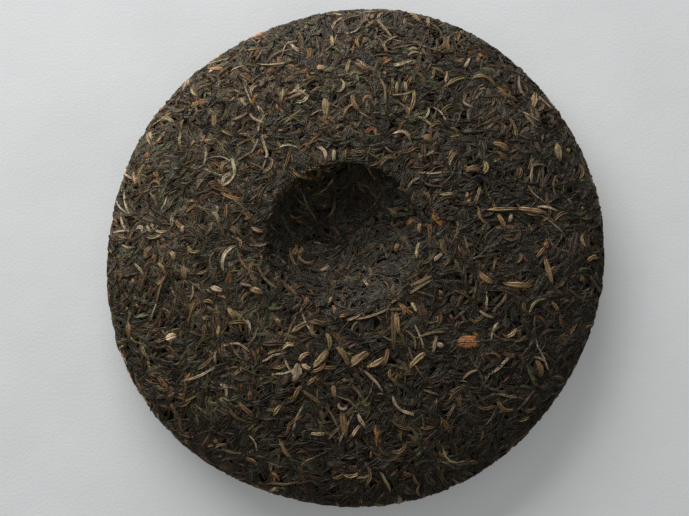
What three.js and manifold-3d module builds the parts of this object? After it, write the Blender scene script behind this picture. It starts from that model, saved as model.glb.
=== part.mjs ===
// A pressed cake of pu erh tea: a round, domed disc of compressed leaf, lying with its back up.
// The back has the deep hollow that the knot of the pressing cloth leaves, and the domed front
// face underneath ends in a small flat that the cake rests on. The whole cake is one solid: a
// slightly smaller core of pressed leaf, with the largest leaves, buds and stems fused on to it.
// Millimetres, +Z up. The origin is at the middle of the base.

import * as THREE from "three";
import { mergeVertices } from "three/addons/utils/BufferGeometryUtils.js";
import Module from "manifold-3d";

// The cake as a whole
const CAKE_RADIUS = 99.6;
const CAKE_THICKNESS = 25;
const RIM_HEIGHT = 12; // of the widest line, above the base
const BACK_FULLNESS = [2.8, 1.9]; // powers of the back's rounded section, across and up
const FRONT_FULLNESS = [2.4, 2.5]; // the same for the domed front underneath
const FLAT_RADIUS = 38; // of the flat that the cake rests on

// How far the outline is from a true circle: waves round the rim, size in mm, peak in degrees
const OUTLINE_WAVES = [
  { count: 2, size: 1.9, peak: 61 },
  { count: 3, size: 0.33, peak: -44 },
  { count: 5, size: 0.56, peak: 1 },
];

// The knot's hollow
const HOLLOW_RADIUS = 27.5;
const HOLLOW_DEPTH = 12.5;
const HOLLOW_CENTRE = new THREE.Vector2(-5.2, 3.2);
const HOLLOW_FADE = [34, 84]; // radii between which the hollow's shift dies away
const STEEP_WALL = { reach: 1.0, bowl: 4.6, lip: 0.9 }; // the hollow's section where it is steepest
const GENTLE_WALL = { reach: 1.2, bowl: 2.1, lip: 1.6 }; // and opposite, where it slopes out gently
const STEEP_DEGREES = 108; // the direction of the steepest wall

// The core lies this far inside the leaf tips
const CORE_INSET = 0.7;
const CORE_SECTORS = 60;
const HOLLOW_RINGS = [5, 10, 15, 20, 24, 27.5, 32];
const BACK_RING_STEP = 12;
const RIM_RING_STEP = 4.6;
const RIM_BAND = 20; // of the section's length, to each side of the widest line
const LUMP_SIZE = 0.45; // of the low swellings in the pressed mass
const LUMP_EDGE = [0.4, 4]; // heights between which they fade in above the flat base

// The pieces that stand out of the core, with lengths, widths and curls as [least, most]
const LEAF_KINDS = {
  bud: { count: 44, length: [13, 21], width: [2.4, 3.4], curl: [25, 95], lift: 1.5, stations: 4 },
  stem: { count: 18, length: [16, 27], width: [1.8, 2.3], curl: [5, 60], lift: 1.35, stations: 4 },
  twist: { count: 60, length: [9, 16], width: [2.4, 3.6], curl: [0, 70], lift: 1.35, stations: 3 },
  blade: { count: 28, length: [11, 19], width: [4.2, 6.0], curl: [0, 35], lift: 1.15, stations: 3 },
};
const LIFT_RANGE = [0.8, 1.1]; // the share of its kind's lift that a leaf has
const LEAF_ROOT = 0.6; // how deep a leaf's underside lies in the core
const LEAF_CLEAR = 0.1; // no leaf is pressed lower than this above the base
const RIDGE_SWAY = 0.08; // how far the ridge wanders to each side, as a share of the width
const BACK_SHARE = 0.6; // of the leaves that lie on the back
const FRONT_CLEAR = 7; // between the flat and the nearest leaf, along the surface
const BACK_REACH = 0.98; // how far out the back's leaves start, as a share of the way to the widest line
const FRONT_REACH = 0.95;
const FRONT_SLANT = 0.9; // how far, in radians, the front's leaves turn from the way round the rim
const SPIRAL_STRAY = 0.25; // how far, in radians, a leaf strays from its place on the spiral
const SEED = 5;

const SECTION_SAMPLES = 900;
const GOLDEN_ANGLE = Math.PI * (3 - Math.sqrt(5));

const { degToRad, lerp, smoothstep } = THREE.MathUtils;

// A repeatable stream of numbers between 0 and 1
function seeded(seed) {
  let state = seed;
  return () => {
    state = (state * 1664525 + 1013904223) >>> 0;
    return state / 2 ** 32;
  };
}

// The outline's radius at an angle, as a share of the mean one
function outlineShare(angle) {
  const waves = OUTLINE_WAVES.map(
    ({ count, size, peak }) => size * Math.cos(count * (angle - degToRad(peak))),
  );
  return 1 + waves.reduce((sum, wave) => sum + wave, 0) / CAKE_RADIUS;
}

// A quarter of a superellipse: its height share at a distance share from the middle
const rounded = (share, [across, up]) => (1 - share ** across) ** (1 / up);

// The back's height with no hollow, and the front's, at a radius
const backHeight = (radius) =>
  RIM_HEIGHT + (CAKE_THICKNESS - RIM_HEIGHT) * rounded(Math.min(radius / CAKE_RADIUS, 1), BACK_FULLNESS);

function frontHeight(radius) {
  const share = (radius - FLAT_RADIUS) / (CAKE_RADIUS - FLAT_RADIUS);
  return RIM_HEIGHT * (1 - rounded(THREE.MathUtils.clamp(share, 0, 1), FRONT_FULLNESS));
}

// The hollow's depth at a radius from its own middle, in the direction of an angle
function hollowDepth(radius, angle) {
  const steepness = (1 + Math.cos(angle - degToRad(STEEP_DEGREES))) / 2;
  const [reach, bowl, lip] = ["reach", "bowl", "lip"].map((key) =>
    lerp(GENTLE_WALL[key], STEEP_WALL[key], steepness),
  );
  const share = Math.min(radius / (HOLLOW_RADIUS * reach), 1);
  return HOLLOW_DEPTH * (1 - share ** bowl) ** lip;
}

// The section of a round cake, from the middle of the back out, round the rim and in to the
// middle of the base, as points that each know the length of the section so far
function makeSection() {
  const outward = Array.from({ length: SECTION_SAMPLES + 1 }, (_, i) => 1 - (1 - i / SECTION_SAMPLES) ** 3);
  const points = [
    ...outward.map((share) => ({ radius: share * CAKE_RADIUS, back: true })),
    ...outward.toReversed().map((share) => ({ radius: share * CAKE_RADIUS, back: false })),
  ];
  let length = 0;
  let last = null;
  for (const point of points) {
    const { radius, back } = point;
    point.height = back ? backHeight(radius) - hollowDepth(radius, 0) : frontHeight(radius);
    if (last) length += Math.hypot(radius - last.radius, point.height - last.height);
    point.length = length;
    last = point;
  }
  return points;
}

const section = makeSection();
const SECTION_LENGTH = section.at(-1).length;
const WIDEST = section[SECTION_SAMPLES].length;
const FLAT_EDGE = SECTION_LENGTH - FLAT_RADIUS;

// The radius on the section at a length along it, and whether that is on the back
function sectionAt(length) {
  let low = 0;
  let high = section.length - 1;
  while (high - low > 1) {
    const middle = (low + high) >> 1;
    if (section[middle].length > length) high = middle;
    else low = middle;
  }
  const [a, b] = [section[low], section[high]];
  const share = THREE.MathUtils.clamp((length - a.length) / Math.max(b.length - a.length, 1e-9), 0, 1);
  return { radius: lerp(a.radius, b.radius, share), back: length < WIDEST };
}

// A point of the outer skin, at a length along the section in the direction of an angle. The
// hollow is shifted off the middle, and the outline's waves widen towards the rim.
function skinPoint(length, angle) {
  const { radius, back } = sectionAt(length);
  const share = lerp(1, outlineShare(angle), radius / CAKE_RADIUS);
  const shift = back ? 1 - smoothstep(radius, ...HOLLOW_FADE) : 0;
  const height = back ? backHeight(radius) - hollowDepth(radius, angle) : frontHeight(radius);
  return new THREE.Vector3(
    radius * share * Math.cos(angle) + shift * HOLLOW_CENTRE.x,
    radius * share * Math.sin(angle) + shift * HOLLOW_CENTRE.y,
    height,
  );
}

// The skin is also read from a flat map, centred on the middle of the back or of the base, in
// which a point's distance from the centre is its length along the section
function mapPoint(u, v, onBack) {
  const distance = Math.hypot(u, v);
  return skinPoint(onBack ? distance : SECTION_LENGTH - distance, Math.atan2(v, u));
}

// The skin's outward direction at a point of the map
function mapNormal(u, v, onBack) {
  const step = 0.4;
  const along = mapPoint(u + step, v, onBack).sub(mapPoint(u - step, v, onBack));
  const across = mapPoint(u, v + step, onBack).sub(mapPoint(u, v - step, onBack));
  const normal = along.cross(across).normalize();
  return onBack ? normal : normal.negate();
}

// The low swellings of the pressed mass, which die away on the flat base
function lump({ x, y, z }) {
  const wave = Math.sin(0.19 * x + 1) * Math.cos(0.23 * y) + 0.6 * Math.sin(0.11 * x - 0.31 * y);
  return LUMP_SIZE * wave * smoothstep(z, ...LUMP_EDGE);
}

// A closed solid from rings of points with a single point at each end
function ringedGeometry(rings, first, last) {
  const count = rings[0].length;
  const points = [first, ...rings.flat(), last];
  const at = (ring, place) => 1 + ring * count + (place % count);
  const faces = [];
  for (let place = 0; place < count; place += 1) {
    faces.push(0, at(0, place), at(0, place + 1));
    for (let ring = 0; ring + 1 < rings.length; ring += 1) {
      faces.push(at(ring, place), at(ring + 1, place), at(ring + 1, place + 1));
      faces.push(at(ring, place), at(ring + 1, place + 1), at(ring, place + 1));
    }
    faces.push(points.length - 1, at(rings.length - 1, place + 1), at(rings.length - 1, place));
  }
  return new THREE.BufferGeometry().setFromPoints(points).setIndex(faces);
}

// Lengths along the section at which the core has its rings
function ringLengths() {
  const lengths = [...HOLLOW_RINGS];
  const fill = (end, step) => {
    const start = lengths.at(-1);
    const steps = Math.max(1, Math.round((end - start) / step));
    for (let i = 1; i <= steps; i += 1) lengths.push(lerp(start, end, i / steps));
  };
  fill(WIDEST - RIM_BAND, BACK_RING_STEP);
  fill(WIDEST + RIM_BAND, RIM_RING_STEP);
  fill(FLAT_EDGE, BACK_RING_STEP);
  return lengths;
}

// The core: the skin drawn in by the inset, and flat underneath
function makeCore() {
  const sink = (length, angle) => {
    const point = skinPoint(length, angle);
    const onBack = length < WIDEST;
    const distance = onBack ? length : SECTION_LENGTH - length;
    const normal = mapNormal(distance * Math.cos(angle), distance * Math.sin(angle), onBack);
    if (length < FLAT_EDGE) point.addScaledVector(normal, lump(point) - CORE_INSET);
    point.z = length < FLAT_EDGE ? Math.max(point.z, 0) : 0;
    return point;
  };
  const angles = Array.from({ length: CORE_SECTORS }, (_, i) => (i * 2 * Math.PI) / CORE_SECTORS);
  const rings = ringLengths().map((length) => angles.map((angle) => sink(length, angle)));
  return ringedGeometry(rings, sink(0, 0), new THREE.Vector3(0, 0, 0));
}

// One leaf, bud or stem that follows the skin. Its line through the map turns by its curl, it
// tapers to both ends, and it has a ridge along its top.
function makeLeaf({ u, v, onBack, heading, length, width, curl, lift, stations }) {
  const step = length / (stations + 1);
  const line = [];
  let direction = heading - degToRad(curl) / 2;
  let place = new THREE.Vector2(u, v);
  for (let i = 0; i < stations + 2; i += 1) {
    line.push({ place: place.clone(), direction });
    place.x += step * Math.cos(direction);
    place.y += step * Math.sin(direction);
    direction += degToRad(curl) / (stations + 1);
  }
  const lifted = (across, height, { place: at, direction: along }) => {
    const mapU = at.x - across * Math.sin(along);
    const mapV = at.y + across * Math.cos(along);
    const point = mapPoint(mapU, mapV, onBack).addScaledVector(mapNormal(mapU, mapV, onBack), height);
    point.z = Math.max(point.z, LEAF_CLEAR);
    return point;
  };
  // Its underside lies in the core, and is wider than the leaf is where it leaves the core
  const rings = line.slice(1, -1).map((station, i) => {
    const fullness = Math.sin((Math.PI * (i + 1)) / (stations + 1)) ** 0.5;
    const rise = lift * fullness;
    const half = (width / 2) * fullness * (1 + LEAF_ROOT / rise);
    const ridge = (i % 2 ? RIDGE_SWAY : -RIDGE_SWAY) * width;
    return [
      lifted(-half, -LEAF_ROOT - CORE_INSET, station),
      lifted(half, -LEAF_ROOT - CORE_INSET, station),
      lifted(ridge, rise - CORE_INSET, station),
    ];
  });
  const end = (station) => lifted(0, -CORE_INSET, station);
  // The map of the front is seen from inside, so its sections already run the outward way round
  const facing = onBack ? rings.map((ring) => ring.toReversed()) : rings;
  return ringedGeometry(facing, end(line[0]), end(line.at(-1)));
}

// Where the leaves lie: an even spiral over the back, and one over the front round the flat,
// with the kinds dealt out in turn and the rest of each leaf drawn from the seeded stream
function placeLeaves() {
  const draw = seeded(SEED);
  const between = ([least, most]) => lerp(least, most, draw());
  const kinds = Object.values(LEAF_KINDS).flatMap((kind) => Array(kind.count).fill(kind));
  const total = kinds.length;
  const order = kinds.map((kind) => ({ kind, key: draw() })).sort((a, b) => a.key - b.key);
  const backCount = Math.round(total * BACK_SHARE);
  return order.map(({ kind }, i) => {
    const onBack = i < backCount;
    const place = onBack ? (i + 0.5) / backCount : (i - backCount + 0.5) / (total - backCount);
    const inner = onBack ? 0 : FLAT_RADIUS + FRONT_CLEAR;
    const outer = onBack ? WIDEST * BACK_REACH : (SECTION_LENGTH - WIDEST) * FRONT_REACH;
    const distance = Math.sqrt(lerp(inner ** 2, outer ** 2, place));
    const angle = i * GOLDEN_ANGLE + SPIRAL_STRAY * draw();
    const slant = between([-FRONT_SLANT, FRONT_SLANT]);
    const heading = onBack ? 2 * Math.PI * draw() : angle + Math.PI / 2 + slant;
    const length = between(kind.length);
    return {
      u: distance * Math.cos(angle) - (length / 2) * Math.cos(heading),
      v: distance * Math.sin(angle) - (length / 2) * Math.sin(heading),
      onBack,
      heading,
      length,
      width: between(kind.width),
      curl: between(kind.curl) * (draw() < 0.5 ? -1 : 1),
      lift: kind.lift * between(LIFT_RANGE),
      stations: kind.stations,
    };
  });
}

const wasm = await Module();
wasm.setup();

// A closed geometry as a solid that can be joined
function solidOf(geometry) {
  const merged = mergeVertices(geometry, 1e-4);
  return new wasm.Manifold(
    new wasm.Mesh({
      numProp: 3,
      vertProperties: merged.attributes.position.array,
      triVerts: new Uint32Array(merged.index.array),
    }),
  );
}

// The core and its leaves as one solid
function makeCake() {
  let cake = solidOf(makeCore());
  for (const leaf of placeLeaves()) cake = cake.add(solidOf(makeLeaf(leaf)));
  // The largest body alone, so that no sealed pocket or loose scrap is left
  const [whole] = cake.decompose().sort((a, b) => b.volume() - a.volume());
  const mesh = whole.getMesh();
  const geometry = new THREE.BufferGeometry();
  geometry.setAttribute("position", new THREE.BufferAttribute(mesh.vertProperties, 3));
  geometry.setIndex(new THREE.BufferAttribute(mesh.triVerts, 1));
  return geometry;
}

const pressedLeaf = new THREE.MeshStandardMaterial({ color: 0x352e25, roughness: 0.75, metalness: 0 });

const cake = new THREE.Mesh(makeCake(), pressedLeaf);
cake.name = "tea_cake";

const group = new THREE.Group();
group.add(cake);

export default group;
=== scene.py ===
# A pressed cake of pu erh tea on a pale floor, back side up. Thousands of steamed and pressed
# leaves, buds and stems lie over and under each other on a dark core of pressed leaf, which has
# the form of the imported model. Metres, +Z up.

import math

import bpy
import numpy as np
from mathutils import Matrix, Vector


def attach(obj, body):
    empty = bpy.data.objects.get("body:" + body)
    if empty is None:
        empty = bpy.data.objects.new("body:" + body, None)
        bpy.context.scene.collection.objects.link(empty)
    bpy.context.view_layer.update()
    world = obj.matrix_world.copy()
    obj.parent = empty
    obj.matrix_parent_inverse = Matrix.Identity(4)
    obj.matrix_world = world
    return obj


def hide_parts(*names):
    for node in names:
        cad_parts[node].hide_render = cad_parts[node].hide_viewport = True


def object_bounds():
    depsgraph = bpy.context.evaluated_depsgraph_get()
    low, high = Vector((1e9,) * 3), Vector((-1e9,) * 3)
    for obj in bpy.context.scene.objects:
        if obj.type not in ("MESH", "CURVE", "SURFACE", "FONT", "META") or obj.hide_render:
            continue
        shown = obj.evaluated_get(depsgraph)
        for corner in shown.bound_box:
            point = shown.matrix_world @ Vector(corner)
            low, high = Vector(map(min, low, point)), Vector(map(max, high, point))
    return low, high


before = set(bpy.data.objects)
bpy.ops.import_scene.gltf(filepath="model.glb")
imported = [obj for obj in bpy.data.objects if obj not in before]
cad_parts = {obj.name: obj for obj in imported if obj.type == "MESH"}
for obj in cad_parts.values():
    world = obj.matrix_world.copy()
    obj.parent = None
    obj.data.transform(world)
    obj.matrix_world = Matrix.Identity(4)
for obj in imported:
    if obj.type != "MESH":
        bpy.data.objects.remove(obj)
cad_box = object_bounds()

NODE = "tea_cake"
BODY = "root"
SEED = 357

# The cake as a whole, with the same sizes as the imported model. A fullness is a superellipse's two
# powers, across and up, and a wave of the outline has its count, its size and its peak in degrees.
CAKE_RADIUS = 0.0996
CAKE_THICKNESS = 0.025
RIM_HEIGHT = 0.012
BACK_FULLNESS = (2.8, 1.9)
FRONT_FULLNESS = (2.4, 2.5)
FLAT_RADIUS = 0.038
OUTLINE_WAVES = [(2, 0.0019, 61), (3, 0.00033, -44), (5, 0.00056, 1)]
HOLLOW_RADIUS = 0.0275
HOLLOW_DEPTH = 0.0125
HOLLOW_CENTRE = (-0.0052, 0.0032)
HOLLOW_FADE = (0.034, 0.084)  # radii between which its shift off the middle fades out
STEEP_WALL = {"reach": 1.0, "bowl": 4.6, "lip": 0.9}
GENTLE_WALL = {"reach": 1.2, "bowl": 2.1, "lip": 1.6}
STEEP_DEGREES = 108  # the side of the hollow's steep wall, anticlockwise from +X
SECTION_SAMPLES = 900
MAP_STEP = 0.0004

# The pressed mass
CORE_DEPTH = 0.00135  # of the core's surface, inside the skin that the leaves reach
CORE_SECTORS = 360
CORE_RINGS = 230
CORE_GRAIN = 0.0007  # height of the fine relief that shows between the leaves
CORE_WAVES = [(900, 500, 0), (-400, 700, 300)]  # radians to a metre of X, Y and Z

# Where the leaves lie
BACK_DENSITY = 2.2  # leaves on a stretch of the back for each one on as much of the front
FRONT_THINNING = 0.015  # how far past the edge their number falls to that of the front
FRONT_SCALE = 1.2  # of the leaves underneath, where they lie further apart
STRAY = 0.0012  # how far a leaf lies from its even place
HEADING_SPREAD = 0.8  # radians, about the way that its neighbours lie
HEADING_PATCHES = (2.4, 61, 53, 0.8)  # a turn, its waves' radians to a metre, and their start
HEADING_BANDS = (1.9, 37, -47, 2.1)
HEADING_ROWS = (1.1, 95, 1)
GOLDEN_ANGLE = math.pi * (3 - math.sqrt(5))

# How the leaves pile up
LAYERS = 16
BASE_CAP = 0.00055  # the most that the leaves below can lift a leaf
CELL = 0.0004
MAP_REACH = 0.15
LINE_STEPS = 32
SEARCH_STEPS = 60
PILE_STEPS = 13
FILL_STEPS = 39
FELT_ACROSS = (-0.3, 0, 0.3)  # places across a leaf, as shares of its width, that rest on others
FILLED_ACROSS = (-0.45, -0.3, -0.15, 0, 0.15, 0.3, 0.45)  # and those that it adds to the pile
CROWN = 1.6  # how fast a leaf's top falls off to its edges
SOFTENING = (1, 2, 3, 2, 1)  # weights that smooth a leaf's lift along it
TIP_GAP = 0.02
TIP_LIFT = 0.35  # the share of the lift that a leaf's tips have
FLOOR_GAP = 0.0001
BOX_GAP = 0.0001

# Painted light and shade in the leaves' tones: paler towards one side, as painted light, and darker in
# the hollow, as painted shade
PAINTED_LIGHT_SIDE = math.radians(148)  # towards it the leaves are painted paler, as lit
PAINTED_LIGHT_POWER = 2.3  # how much, in powers of two of the tone's exponent
PAINTED_HOLLOW_SHADE = 2.3  # how much the hollow's leaves are painted darker as shade, in the same way
PAINTED_HOLLOW_SHADE_REACH = (0.024, 0.040)  # distances from its middle between which that fades out
BRIGHT_KINDS = ("golden_buds", "pale_stems")
BRIGHT_PAINTED_LIGHT_SHARE = 0.75  # how much of the painted light they have

# Attributes that the materials read from every leaf
PLACE = "leaf_place"  # millimetres along and across it, and a number of its own
FORM = "leaf_form"  # its tone, with painted light and shade in it, then its shares along and across
MM = 0.001
TONE_STRIDE = 400  # from a tone to that number

# The shapes of leaves
LEAF_SIDES = 6
TIP_TAPER = 0.03  # the share of the taper's curve that is left off at each tip
TAPER_POWER = 0.55
LEAN = 0.3  # the most that its ridges stand to one side
WINDING = 0.3  # how far they wind across it for each turn of twist
RING_STRAY = 0.25  # how uneven its rings lie, as a share of their distance and of ragged
CORNER_STRAY = 0.5  # and how uneven their corners
NEAR = 0.01
CREASE = math.radians(62)  # sharper edges aren't shaded smooth

# The kinds of leaf. Lengths, widths and heights are in metres and turns in degrees, each as
# (least, most). bend turns a leaf one way and sway turns it both ways, tilt raises one of its
# edges, and layer says how late it is laid. model_leaf reads shape.
KINDS = {
    "black_leaves": dict(
        count=2700, shapes=4, rings=6,
        shape=dict(groove=0.5, twist=1.6, waist=0.16, blunt=0.25, ragged=0.26),
        length=(0.006, 0.014), width=(0.0011, 0.0023), height=(0.00045, 0.0008),
        bend=(-42, 42), sway=(-20, 20), tilt=(-28, 28), layer=(0.0, 1.0),
    ),
    "brown_leaves": dict(
        count=2700, shapes=4, rings=6,
        shape=dict(groove=0.4, twist=1.2, waist=0.14, blunt=0.25, ragged=0.28),
        length=(0.005, 0.0125), width=(0.0012, 0.0025), height=(0.0004, 0.00075),
        bend=(-46, 46), sway=(-22, 22), tilt=(-30, 30), layer=(0.05, 1.0),
    ),
    "folded_blades": dict(
        count=2200, shapes=4, rings=6,
        shape=dict(groove=0.75, twist=0.4, waist=0.12, blunt=0.3, ragged=0.24),
        length=(0.007, 0.015), width=(0.0022, 0.0042), height=(0.00045, 0.0007),
        bend=(-35, 35), sway=(-20, 20), tilt=(-18, 18), layer=(0.0, 0.7),
    ),
    "rusty_blades": dict(
        count=330, shapes=4, rings=6,
        shape=dict(groove=0.5, twist=0.3, waist=0.08, blunt=0.35, ragged=0.2),
        length=(0.004, 0.010), width=(0.0016, 0.0032), height=(0.0005, 0.0008),
        bend=(-30, 30), sway=(-20, 20), tilt=(-18, 18), layer=(0.3, 1.0),
    ),
    "leaf_ribs": dict(
        count=2400, shapes=3, rings=5,
        shape=dict(groove=0.25, twist=0.4, waist=0.08, blunt=0.2, ragged=0.15),
        length=(0.005, 0.012), width=(0.0006, 0.0011), height=(0.0005, 0.0008),
        bend=(-55, 55), sway=(-24, 24), tilt=(-20, 20), layer=(0.3, 1.0),
    ),
    "golden_buds": dict(
        count=560, shapes=5, rings=7,
        shape=dict(groove=0.35, twist=0.9, waist=0.07, blunt=0.08, ragged=0.13),
        length=(0.0055, 0.0125), width=(0.0012, 0.0020), height=(0.0006, 0.0010),
        bend=(-100, 100), sway=(-35, 35), tilt=(-14, 14), layer=(0.5, 1.0),
    ),
    "pale_stems": dict(
        count=280, shapes=3, rings=7,
        shape=dict(groove=0.15, twist=0.2, waist=0.07, blunt=0.7, ragged=0.10),
        length=(0.006, 0.015), width=(0.0008, 0.0013), height=(0.0006, 0.0009),
        bend=(-60, 60), sway=(-24, 24), tilt=(-5, 5), layer=(0.5, 1.0),
    ),
    "leaf_scraps": dict(
        count=4100, shapes=5, rings=4,
        shape=dict(groove=0.35, twist=0.5, waist=0.1, blunt=0.35, ragged=0.25),
        length=(0.0025, 0.0060), width=(0.0009, 0.0019), height=(0.00045, 0.0008),
        bend=(-40, 40), sway=(-15, 15), tilt=(-30, 30), layer=(0.3, 1.0),
    ),
}
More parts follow.
